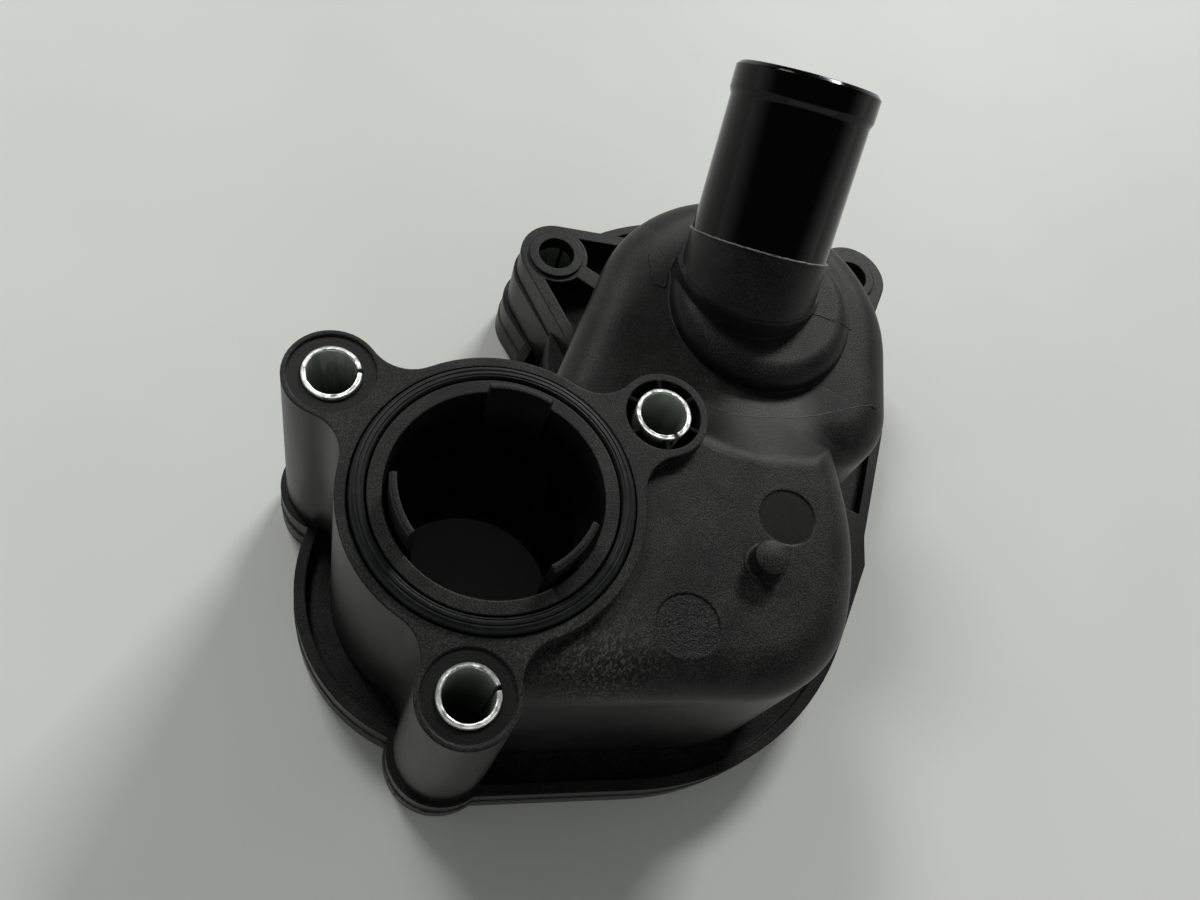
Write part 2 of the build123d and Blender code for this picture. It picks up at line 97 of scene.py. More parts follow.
@dataclass(frozen=True)
class Layout:
    """Places and sizes that the details share with the CAD model."""

    face_height: float = 64.0
    deck_height: float = 61.5
    roof_height: float = 55.0
    shell_height: float = 6.0
    neck_reach: float = 28.8
    bore_radius: float = 19.5
    land_radius: float = 22.1
    groove_radius: float = 25.5
    groove_depth: float = 3.0
    boss_left: Spot = (-36.0, 6.4)
    boss_right: Spot = (20.3, 30.2)
    boss_front: Spot = (11.95, -33.1)
    boss_reach: float = 9.4
    boss_recess_radius: float = 7.9
    boss_pocket_radius: float = 7.25
    boss_pocket_depth: float = 12.0
    bead: Spot = (29.3, 70.0)
    bead_radius: float = 20.0
    elbow: Point = (24.1, 73.2, 59.2)
    pipe_azimuth: float = 106.0
    pipe_tilt: float = 45.0
    pipe_radius: float = 14.5
    pipe_collar_length: float = 6.9
    peg: Spot = (49.0, 13.2)
    date_disc: Round = ((40.4, -4.4), 6.4)
    smooth_disc: Round = ((49.8, 24.0), 5.6)
    waist_corner: Spot = (52.8, 42.5)

    def pipe_direction(self) -> Vector:
        """Finds the way that the hose pipe points.

        Returns:
            The direction, as a unit vector.
        """
        azimuth, tilt = math.radians(self.pipe_azimuth), math.radians(self.pipe_tilt)
        lean = math.sin(tilt)
        return Vector((lean * math.cos(azimuth), lean * math.sin(azimuth), math.cos(tilt)))


class Graph:
    """The node tree of one material, with short calls for the nodes that the finishes share."""

    def __init__(self, name: str) -> None:
        """Makes an empty material with a Principled shader.

        Args:
            name: The material's name.
        """
        self.material = bpy.data.materials.new(name)
        self.material.use_nodes = True
        self.tree = self.material.node_tree
        self.tree.nodes.clear()
        self.shader = self.tree.nodes.new("ShaderNodeBsdfPrincipled")
        output = self.tree.nodes.new("ShaderNodeOutputMaterial")
        self.tree.links.new(self.shader.outputs["BSDF"], output.inputs["Surface"])
        self.place = self.tree.nodes.new("ShaderNodeTexCoord").outputs["Object"]
        parts = self.tree.nodes.new("ShaderNodeSeparateXYZ")
        self.tree.links.new(self.place, parts.inputs[0])
        self.height = parts.outputs["Z"]
        self.facing = self.tree.nodes.new("ShaderNodeNewGeometry").outputs["Normal"]

    def feed(self, socket: Socket, value: Union[Value, Sequence[float]]) -> None:
        """Links a socket into another, or sets a plain value on it.

        Args:
            socket: The input that is fed.
            value: An output socket, a number or a colour.
        """
        if isinstance(value, Socket):
            self.tree.links.new(value, socket)
        else:
            socket.default_value = value

    def node(self, kind: str, operation: str, *values: Union[Value, Point]) -> bpy.types.Node:
        """Adds a node that works out something.

        Args:
            kind: The node's type.
            operation: Blender's name of the operation.
            values: What its first inputs are fed.

        Returns:
            The node.
        """
        node = self.tree.nodes.new(kind)
        node.operation = operation
        for socket, value in zip(node.inputs, values):
            self.feed(socket, value)
        return node

    def maths(self, operation: str, first: Value, second: Value) -> Socket:
        """One sum of two numbers."""
        return self.node("ShaderNodeMath", operation, first, second).outputs[0]

    def times(self, first: Value, second: Value) -> Socket:
        """The product of two numbers."""
        return self.maths("MULTIPLY", first, second)

    def vector(self, operation: str, *values: Union[Socket, Point], output: str = "Value") -> Socket:
        """One sum of vectors, whose result is a Value or a Vector."""
        return self.node("ShaderNodeVectorMath", operation, *values).outputs[output]

    def fade(self, value: Value, start: float, end: float, low: float = 0.0,
             high: float = 1.0) -> Socket:
        """A smooth step from one number to another.

        Args:
            value: The number that is mapped.
            start: Where the step starts.
            end: Where the step ends.
            low: The result before the step.
            high: The result after the step.

        Returns:
            The result's socket.
        """
        node = self.tree.nodes.new("ShaderNodeMapRange")
        node.interpolation_type = "SMOOTHSTEP"
        self.feed(node.inputs["Value"], value)
        for name, number in (("From Min", start), ("From Max", end), ("To Min", low), ("To Max", high)):
            node.inputs[name].default_value = number
        return node.outputs["Result"]

    def noise(self, size: float, detail: float = 2.0, stretch: Point = (1.0, 1.0, 1.0),
              bend: float = 0.0) -> Socket:
        """Clouds of a given size.

        Args:
            size: The clouds' size in millimetres.
            detail: How many finer layers they have.
            stretch: How much denser they are along each axis.
            bend: How much they are distorted.

        Returns:
            The clouds, from 0 to 1.
        """
        mapping = self.tree.nodes.new("ShaderNodeMapping")
        mapping.inputs["Scale"].default_value = stretch
        self.tree.links.new(self.place, mapping.inputs["Vector"])
        node = self.tree.nodes.new("ShaderNodeTexNoise")
        self.tree.links.new(mapping.outputs[0], node.inputs["Vector"])
        for name, number in (("Scale", 1 / (size * MM)), ("Detail", detail), ("Distortion", bend)):
            node.inputs[name].default_value = number
        return node.outputs["Fac"]

    def blend(self, factor: Value, first: Union[Socket, Colour], second: Union[Socket, Colour]) -> Socket:
        """A mix of two colours.

        Args:
            factor: The second colour's share.
            first: The first colour.
            second: The second colour.

        Returns:
            The mixed colour.
        """
        node = self.tree.nodes.new("ShaderNodeMix")
        node.data_type = "RGBA"
        self.feed(node.inputs[0], factor)
        for socket, colour in ((node.inputs[6], first), (node.inputs[7], second)):
            self.feed(socket, colour if isinstance(colour, Socket) else (*colour, 1.0))
        return node.outputs[2]

    def soft_edges(self, radius: Value) -> Socket:
        """The normal of a surface whose edges look rounded.

        Args:
            radius: The edges' radius in millimetres.

        Returns:
            The rounded normal.
        """
        node = self.tree.nodes.new("ShaderNodeBevel")
        node.samples = 8
        self.feed(node.inputs["Radius"], self.times(radius, MM))
        return node.outputs["Normal"]

    def bump(self, height: Socket, depth: float, strength: Value,
             normal: Socket | None = None) -> Socket:
        """Raises a surface by a height map.

        Args:
            height: The height map, from 0 to 1.
            depth: The map's full height in millimetres.
            strength: The share of the bump that shows.
            normal: The normal that it starts from.

        Returns:
            The bumped normal.
        """
        node = self.tree.nodes.new("ShaderNodeBump")
        node.inputs["Distance"].default_value = depth * MM
        self.feed(node.inputs["Strength"], strength)
        self.feed(node.inputs["Height"], height)
        if normal is not None:
            self.feed(node.inputs["Normal"], normal)
        return node.outputs["Normal"]

    def disc(self, centre: Spot, radius: float, edge: float = 0.15) -> Socket:
        """A round mask about an upright line.

        Args:
            centre: The line's place in millimetres.
            radius: The mask's radius in millimetres.
            edge: How wide its soft edge is.

        Returns:
            The mask, 1 inside.
        """
        flat = self.vector("MULTIPLY", self.place, (1.0, 1.0, 0.0), output="Vector")
        away = self.vector("DISTANCE", flat, (centre[0] * MM, centre[1] * MM, 0.0))
        return self.fade(away, (radius - edge) * MM, (radius + edge) * MM, 1.0, 0.0)

    def above(self, height: float, edge: float = 0.2) -> Socket:
        """A mask that is 1 above a height in millimetres, with a soft edge."""
        return self.fade(self.height, (height - edge) * MM, (height + edge) * MM)

    def finish(self, colour: Socket, roughness: Value, normal: Socket) -> Material:
        """Feeds the shader and hands out the material.

        Args:
            colour: The base colour.
            roughness: The roughness.
            normal: The bumped normal.

        Returns:
            The material.
        """
        for name, value in (("Base Color", colour), ("Roughness", roughness), ("Normal", normal)):
            self.feed(self.shader.inputs[name], value)
        return self.material


@dataclass(frozen=True)
class MouldedNylon:
    """Black glass-filled nylon: a fine eroded grain on faces that look up, smoother drawn walls."""

    name: str
    dark: Colour = (0.0055, 0.0058, 0.0055)
    light: Colour = (0.052, 0.053, 0.05)
    roughness: float = 0.4
    wall_roughness: float = 0.3
    gloss: float = 0.2
    edge_radius: float = 0.5
    grain_size: float = 0.24
    grain_depth: float = 0.07

    def start(self) -> tuple[Graph, Socket, Socket, Socket, Socket]:
        """Lays the grain that every moulded face shares.

        Returns:
            The graph, the colour, the roughness, the grain's height and the share of the grain that shows.
        """
        graph = Graph(self.name)
        graph.shader.inputs["Specular IOR Level"].default_value = self.gloss
        up = graph.vector("DOT_PRODUCT", graph.facing, (0.0, 0.0, 1.0))
        eroded = graph.fade(up, 0.35, 0.92)
        grain = graph.noise(self.grain_size, 3.0)
        clouds = graph.noise(9.0, 3.0, bend=0.4)
        drag = graph.noise(1.6, 4.0, (1.0, 1.0, 0.12))
        patches = graph.fade(clouds, 0.3, 0.7, 0.45, 1.0)
        fleck = graph.times(graph.fade(grain, 0.47, 0.62), patches)
        # The flecks are lighter on faces that look up: the eroded grain, plus painted light on the lit tops.
        lit = graph.times(fleck, graph.fade(up, 0.35, 0.92, 0.15, 0.8))
        base = graph.blend(graph.fade(clouds, 0.3, 0.75, 0.0, 0.12), self.dark, self.light)
        colour = graph.blend(lit, base, self.light)
        wear_and_highlight = graph.times(drag, 0.08)
        plain = graph.fade(up, 0.1, 0.7, self.wall_roughness, self.roughness)
        roughness = graph.maths("ADD", plain, wear_and_highlight)
        shown = graph.maths("MAXIMUM", eroded, 0.22)
        return graph, colour, roughness, grain, shown

    def material(self) -> Material:
        """Makes the finish.

        Returns:
            The material.
        """
        graph, colour, roughness, grain, shown = self.start()
        normal = graph.bump(grain, self.grain_depth, shown, graph.soft_edges(self.edge_radius))
        return graph.finish(colour, roughness, normal)


@dataclass(frozen=True)
class HousingNylon(MouldedNylon):
    """The housing's nylon, with its polished hose pipe, boss faces and round mould marks, painted shade in
    the bore and in the right boss's pocket, and a painted highlight on the front of the deck.
    """

    layout: Layout = Layout()
    pipe_colour: Colour = (0.0012, 0.0014, 0.0013)
    pipe_roughness: float = 0.1
    polish_reach: float = 15.4
    mark_colour: Colour = (0.0115, 0.011, 0.0095)
    etching_size: float = 1.1
    etching_depth: float = 0.35
    # Painted shade: near black in the bore and the right boss's pocket, with the roughness raised there.
    hollow_shade_colour: Colour = (0.0012, 0.0014, 0.0013)
    hollow_roughness: float = 0.85
    hollow_shade_depth: float = 9.0
    soft_radius: float = 2.6
    waist_reach: float = 8.0
    # Painted highlight: a pale, streaky patch on the deck's front edge and the top of its front wall.
    front_highlight_colour: Colour = (0.14, 0.142, 0.132)
    front_highlight: Round = ((29.7, -18.9), 3.0)
    front_highlight_edge: float = 16.0
    front_highlight_depth: float = 9.0

    def pipe_mask(self, graph: Graph) -> Socket:
        """Where the polished pipe is.

        Args:
            graph: The material's graph.

        Returns:
            A mask that is 1 on the pipe beyond its collar.
        """
        layout, reach = self.layout, self.polish_reach
        elbow, way = tuple(Vector(layout.elbow) * MM), tuple(layout.pipe_direction())
        away = graph.vector("SUBTRACT", graph.place, elbow, output="Vector")
        aside = graph.vector("LENGTH", graph.vector("CROSS_PRODUCT", away, way, output="Vector"))
        near = graph.fade(aside, (reach - 0.1) * MM, (reach + 0.1) * MM, 1.0, 0.0)
        along = graph.vector("DOT_PRODUCT", away, way)
        return graph.times(near, graph.maths("GREATER_THAN", along, layout.pipe_collar_length * MM))

    def material(self) -> Material:
        """Makes the finish.

        Returns:
            The material.
        """
        layout = self.layout
        graph, colour, roughness, grain, shown = self.start()
        pipe = self.pipe_mask(graph)
        deck = graph.above(layout.deck_height - 1.0)
        dial = graph.times(graph.disc(*layout.date_disc), deck)
        smooth = graph.times(graph.disc(*layout.smooth_disc), deck)
        left, front = (graph.disc(boss, layout.boss_recess_radius)
                       for boss in (layout.boss_left, layout.boss_front))
        pressed = graph.times(graph.maths("MAXIMUM", left, front), graph.above(layout.face_height - 1.0))
        # Painted shade: the bore is coloured darker downward below the face, and the right boss's pocket is
        # coloured dark too.
        deep = graph.fade(graph.height, (layout.face_height - self.hollow_shade_depth) * MM,
                          layout.face_height * MM, 1.0, 0.0)
        bore = graph.times(graph.disc((0.0, 0.0), layout.bore_radius + 1.0, 0.5), deep)
        pocket = graph.times(graph.disc(layout.boss_right, layout.boss_pocket_radius + 0.1),
                             graph.above(layout.face_height - layout.boss_pocket_depth))
        hollow = graph.maths("MAXIMUM", bore, pocket)
        etched = graph.noise(self.etching_size, 4.0, bend=2.2)
        # Painted highlight: a pale patch streaked along the grain, on the front of the deck and its front
        # wall.
        wear_and_highlight = graph.times(graph.disc(*self.front_highlight, self.front_highlight_edge),
                           graph.above(layout.deck_height - self.front_highlight_depth, 3.0))
        highlight_streaks = graph.fade(graph.noise(0.42, 4.0, (1.0, 0.45, 1.0)), 0.48, 0.64, 0.0, 0.75)

        for share, tint in ((graph.times(dial, graph.fade(etched, 0.42, 0.6)), self.dark),
                            (graph.times(smooth, 0.85), self.mark_colour),
                            (graph.times(pressed, 0.7), self.dark),
                            (graph.times(wear_and_highlight, highlight_streaks), self.front_highlight_colour),
                            (hollow, self.hollow_shade_colour),
                            (pipe, self.pipe_colour)):
            colour = graph.blend(share, colour, tint)

        matt = graph.maths("SUBTRACT", 1.0, pipe)
        for mask, change in ((smooth, 0.1), (pressed, 0.08)):
            roughness = graph.maths("SUBTRACT", roughness, graph.times(mask, change))
        roughness = graph.maths("ADD", graph.times(roughness, matt), graph.times(pipe, self.pipe_roughness))
        roughness = graph.maths("MAXIMUM", roughness, graph.times(hollow, self.hollow_roughness))

        crest = graph.disc(layout.waist_corner, self.waist_reach, self.waist_reach / 2)
        above_bead = graph.fade(graph.height, (layout.roof_height + 5.2) * MM, (layout.roof_height + 7) * MM)
        root = graph.times(graph.disc(layout.bead, layout.bead_radius, 2.0), above_bead)
        melted = graph.times(matt, graph.maths("MAXIMUM", crest, root))
        radius = graph.maths("ADD", graph.times(melted, self.soft_radius), self.edge_radius)
        rounded = graph.soft_edges(radius)
        calm = graph.times(matt, graph.maths("SUBTRACT", 1.0, smooth))
        normal = graph.bump(grain, self.grain_depth, graph.times(shown, calm), rounded)
        normal = graph.bump(etched, self.etching_depth, graph.times(dial, 0.6), normal)
        return graph.finish(colour, roughness, normal)


@dataclass(frozen=True)
class SealRubber:
    """Black moulded rubber with a little dust and a few specks of flash."""

    name: str = "seal_rubber_dusty"
    dark: Colour = (0.008, 0.0085, 0.009)
    dust: Colour = (0.02, 0.022, 0.024)
    flecks: Colour = (0.35, 0.36, 0.36)
    fleck_spacing: float = 1.7

    def material(self) -> Material:
        """Makes the finish.

        Returns:
            The material.
        """
        graph = Graph(self.name)
        graph.shader.inputs["Specular IOR Level"].default_value = 0.25
        clouds = graph.noise(2.2, 4.0)
        cells = graph.tree.nodes.new("ShaderNodeTexVoronoi")
        graph.feed(cells.inputs["Vector"], graph.place)
        cells.inputs["Scale"].default_value = 1 / (self.fleck_spacing * MM)
        specks = graph.times(graph.fade(cells.outputs["Distance"], 0.0, 0.09, 1.0, 0.0),
                             graph.fade(clouds, 0.5, 0.6))
        colour = graph.blend(graph.fade(clouds, 0.4, 0.8, 0.0, 0.4), self.dark, self.dust)
        colour = graph.blend(specks, colour, self.flecks)
        normal = graph.bump(graph.noise(0.3, 3.0), 0.03, 0.5, graph.soft_edges(0.2))
        return graph.finish(colour, graph.fade(clouds, 0.2, 0.8, 0.34, 0.5), normal)


@dataclass(frozen=True)
class RolledSteel:
    """Zinc-plated steel, dull and greenish down the bore, with a painted highlight along the top of the rim.
    """

    name: str
    rim_height: float = 64.0
    plate: Colour = (0.6, 0.65, 0.6)
    dull: Colour = (0.5, 0.52, 0.5)
    rim: Colour = (0.86, 0.87, 0.85)

    def material(self) -> Material:
        """Makes the finish.

        Returns:
            The material.
        """
        graph = Graph(self.name)
        clouds = graph.noise(1.3, 4.0)
        drawn = graph.noise(0.5, 3.0, (1.0, 1.0, 0.06))
        # Painted highlight: above the rim height the steel is coloured bright, and made a little smoother.
        rim = graph.above(self.rim_height, 0.12)
        colour = graph.blend(rim, graph.blend(clouds, self.plate, self.dull), self.rim)
        rough = graph.maths("SUBTRACT", graph.fade(drawn, 0.2, 0.8, 0.42, 0.62), graph.times(rim, 0.1))
        graph.shader.inputs["Metallic"].default_value = 1.0
        scratches = graph.maths("ADD", drawn, graph.times(rim, graph.noise(0.35, 3.0)))
        return graph.finish(colour, rough, graph.bump(scratches, 0.06, 0.5))


@dataclass(frozen=True)
class FlashNylon:
    """Thin torn nylon, which turns pale where it was stressed; on the roof's witness line the pale is a
    painted highlight.
    """

    name: str
    dark: Colour = (0.03, 0.03, 0.028)
    pale: Colour = (0.16, 0.165, 0.155)
    share: float = 0.5

    def material(self) -> Material:
        """Makes the finish.

        Returns:
            The material.
        """
        graph = Graph(self.name)
        torn = graph.noise(1.2, 4.0)
        low = 1.0 - self.share
        colour = graph.blend(graph.fade(torn, low - 0.15, low + 0.15), self.dark, self.pale)
        return graph.finish(colour, 0.55, graph.bump(graph.noise(0.3, 2.0), 0.05, 0.6))


@dataclass(frozen=True)
class PhotoCamera:
    """Where the photograph was taken from, in the CAD frame, and how its pixels look out."""

    place: Point = (12.665, -71.325, 229.139)
    elevation: float = 61.802
    roll: float = 27.15
    focal_pixels: float = 1027.0
    image_size: Spot = (1200.0, 900.0)

    def axes(self) -> tuple[Vector, Vector, Vector]:
        """Finds how the camera is turned.

        Returns:
            Its right, top and forward directions.
        """
        lean, roll = math.radians(self.elevation), math.radians(self.roll)
        forward = Vector((0.0, math.cos(lean), -math.sin(lean)))
        across = Vector((1.0, 0.0, 0.0))
        above = across.cross(forward)
        right = across * math.cos(roll) + above * math.sin(roll)
        top = above * math.cos(roll) - across * math.sin(roll)
        return right, top, forward

    def ray(self, pixel: Spot) -> Vector:
        """The direction that a pixel of the photograph looks in.

        Args:
            pixel: The pixel, from the photograph's top left corner.

        Returns:
            The direction, as a unit vector.
        """
        right, top, forward = self.axes()
        aside = (pixel[0] - self.image_size[0] / 2) / self.focal_pixels
        rise = (self.image_size[1] / 2 - pixel[1]) / self.focal_pixels
        return (forward + right * aside + top * rise).normalized()


def new_object(name: str, content: Union[BMesh, bpy.types.ID]) -> Object:
    """Adds an object to the scene.

    Args:
        name: The object's name.
        content: Its data, or a bmesh, which is freed.

    Returns:
        The object, at the origin.
    """
    data = content
    if isinstance(content, BMesh):
        data = bpy.data.meshes.new(name)
        content.to_mesh(data)
        content.free()
    piece = bpy.data.objects.new(name, data)
    bpy.context.scene.collection.objects.link(piece)
    return piece


@dataclass
class Builder:
    """Base of the classes that add pieces to the part."""

    material: Material

    body = "root"
    crease_angle = 40.0
    coarse_grain = 700.0
    fine_grain = 2300.0

    def surface(self, carriers: Sequence[Object]) -> BVHTree:
        """The surface of some objects, for casting rays at.

        Args:
            carriers: The objects.

        Returns:
            Their faces in one search tree.
        """
        shape = bmesh.new()
        for carrier in carriers:
            shape.from_mesh(carrier.data)
        tree = BVHTree.FromBMesh(shape)
        shape.free()
        return tree

    def settle(self, name: str, mesh: BMesh, slot: Slot, *nodes: str) -> Object:
        """Writes a bmesh into an object, in one fixed order, dresses it and hands it to the frame.

        Args:
            name: The piece's name.
            mesh: The piece's shape, in metres, in place.
            slot: A slot of the part's record; not used.
            nodes: The CAD nodes that the piece stands for.

        Returns:
            The piece.
        """
        bmesh.ops.recalc_face_normals(mesh, faces=mesh.faces)
        for items, place in ((mesh.verts, lambda corner: tuple(corner.co)),
                             (mesh.faces, lambda face: tuple(face.calc_center_median()))):
            rank = {item: number for number, item in enumerate(sorted(items, key=place))}
            items.sort(key=rank.get)
        piece = new_object(name, mesh)
        data = piece.data
        data.materials.append(self.material)
        data.polygons.foreach_set("use_smooth", [True] * len(data.polygons))
        data.set_sharp_from_angle(angle=math.radians(self.crease_angle))
        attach(piece, self.body)
        if nodes:
            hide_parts(*nodes)
        LOG.info("%s: %d faces", name, len(data.polygons))
        return piece

    def spun(self, profile: Sequence[Spot], centre: Point, steps: int, axis: Vector = UP,
             start: float = 0.0, sweep: float = 360.0) -> BMesh:
        """Spins a closed half section about an axis.

        Args:
            profile: The section's corners, as radius and height in millimetres.
            centre: A point on the axis, in millimetres.
            steps: The number of steps.
            axis: The axis' direction.
            start: The angle that the section starts at, in degrees.
            sweep: How far it is spun, in degrees.

        Returns:
            The spun shape, closed at its ends.
        """
        mesh = bmesh.new()
        corners = [mesh.verts.new((radius * MM, 0.0, height * MM)) for radius, height in profile]
        face = mesh.faces.new(corners)
        bmesh.ops.rotate(mesh, verts=mesh.verts, matrix=Matrix.Rotation(math.radians(start), 3, "Z"))
        whole = sweep >= 360
        section = [face, *face.edges, *face.verts]
        if whole:
            section = section[1:]
            bmesh.ops.delete(mesh, geom=[face], context="FACES_ONLY")
        bmesh.ops.spin(mesh, geom=section, axis=UP, angle=math.radians(sweep), steps=steps, use_merge=whole)
        turn = UP.rotation_difference(axis).to_matrix().to_4x4()
        bmesh.ops.transform(mesh, verts=mesh.verts, matrix=Matrix.Translation(Vector(centre) * MM) @ turn)
        return mesh

    def bead(self, mesh: BMesh, points: Sequence[Vector], radius: float, wobble: float,
             closed: bool = False) -> None:
        """Adds a thin bead of uneven thickness along a line.

        Args:
            mesh: The shape that it is added to.
            points: The line's points, in metres.
            radius: The bead's middle radius in millimetres.
            wobble: How much the radius changes, as a share.
            closed: Whether the line is a loop.
        """
        curve = bpy.data.curves.new("bead", "CURVE")
        curve.dimensions = "3D"
        curve.bevel_depth = radius * MM
        curve.bevel_resolution = 1
        curve.use_fill_caps = not closed
        spline = curve.splines.new("POLY")
        spline.points.add(len(points) - 1)
        for place, point in zip(spline.points, points):
            place.co = (*point, 1.0)
            uneven = noise.noise(point * self.coarse_grain) + 0.5 * noise.noise(point * self.fine_grain)
            place.radius = 1.0 + wobble * uneven
        spline.use_cyclic_u = closed
        holder = new_object("bead", curve)
        bpy.context.view_layer.update()
        tube = bpy.data.meshes.new_from_object(holder.evaluated_get(bpy.context.evaluated_depsgraph_get()))
        mesh.from_mesh(tube)
        bpy.data.objects.remove(holder)
        bpy.data.meshes.remove(tube)
        bpy.data.curves.remove(curve)


@dataclass
class FaceSeal(Builder):
    """The rubber ring in the neck's face, with the fine ridges of its lips."""

    layout: Layout
    side_gap: float = 0.35
    proud: float = 1.5
    steps: int = 144

    def build(self) -> None:
        """Builds the ring in its groove."""
        inner = self.layout.land_radius + self.side_gap
        outer = self.layout.groove_radius - self.side_gap
        base = self.layout.face_height - self.layout.groove_depth
        top = self.layout.face_height + self.proud
        section = [(inner, base), (outer, base), (outer, top - 1.3), (outer - 0.12, top - 0.9),
                   (outer - 0.4, top - 0.45), (outer - 0.75, top - 0.2), (outer - 1.05, top - 0.12),
                   (outer - 1.15, top - 0.26), (outer - 1.35, top - 0.26), (outer - 1.45, top - 0.04),
                   (inner + 0.75, top), (inner + 0.6, top - 0.14), (inner + 0.45, top - 0.14),
                   (inner + 0.36, top - 0.02), (inner + 0.14, top - 0.12), (inner, top - 0.4)]
        mesh = self.spun(section, (0, 0, 0), self.steps)
        self.settle("seal_ring_lipped", mesh, Slot.SEAL, "seal_ring")


@dataclass
class BoltSleeve(Builder):
    """A rolled steel sleeve with a sheared, uneven rim and an open slit."""

    node: str
    place: Spot
    slit_angle: float
    inner_radius: float = 4.4
    wall: float = 1.0
    top: float = 64.4
    slit: float = 0.9
    steps: int = 84
    rim_depth: float = 0.6
    unevenness: float = 0.09
    grain: float = 900.0

    def build(self) -> None:
        """Builds the sleeve in its boss."""
        inner, outer, top = self.inner_radius, self.inner_radius + self.wall, self.top
        rim = [(outer, top - 0.5), (outer - 0.05, top - 0.16), (outer - 0.2, top - 0.02),
               (outer - 0.45, top - 0.06), (inner + 0.3, top), (inner + 0.1, top - 0.1), (inner, top - 0.35)]
        gap = math.degrees(self.slit / (inner + self.wall / 2))
        mesh = self.spun([(inner, 0.0), (outer, 0.0), *rim], (*self.place, 0), self.steps,
                         start=self.slit_angle + gap / 2, sweep=360 - gap)
        for corner in mesh.verts:
            if corner.co.z > (top - self.rim_depth) * MM:
                uneven = noise.noise(corner.co * self.grain) - 0.35
                corner.co.z += self.unevenness * MM * uneven
        self.settle(f"{self.node}_rolled", mesh, Slot.SLEEVE, self.node)


@dataclass
class CollarFlash(Builder):
    """The torn flash ridge where the mould's pipe core met the elbow's collar."""

    layout: Layout
    height: float = 0.6
    tear: float = 0.3
    coarse_tear: float = 900.0
    fine_tear: float = 2600.0
    steps: int = 260

    def build(self) -> None:
        """Builds the ridge round the pipe."""
        way = self.layout.pipe_direction()
        reach = self.layout.pipe_collar_length
        inner = self.layout.pipe_radius - 0.2
        outer = self.layout.pipe_radius + self.height
        section = [(inner, reach - 0.15), (outer - 0.15, reach - 0.1), (outer, reach + 0.06),
                   (outer - 0.2, reach + 0.16), (inner, reach + 0.2)]
        mesh = self.spun(section, self.layout.elbow, self.steps, way)
        centre = Vector(self.layout.elbow) * MM
        for corner in mesh.verts:
            away = corner.co - centre
            aside = away - way * away.dot(way)
            if aside.length > (inner + 0.1) * MM:
                fine = noise.noise(corner.co * self.fine_tear)
                torn = noise.noise(corner.co * self.coarse_tear) + 0.5 * fine
                corner.co += (aside.normalized() + way * 0.6) * torn * self.tear * MM
        self.settle("collar_flash", mesh, Slot.HOUSING)


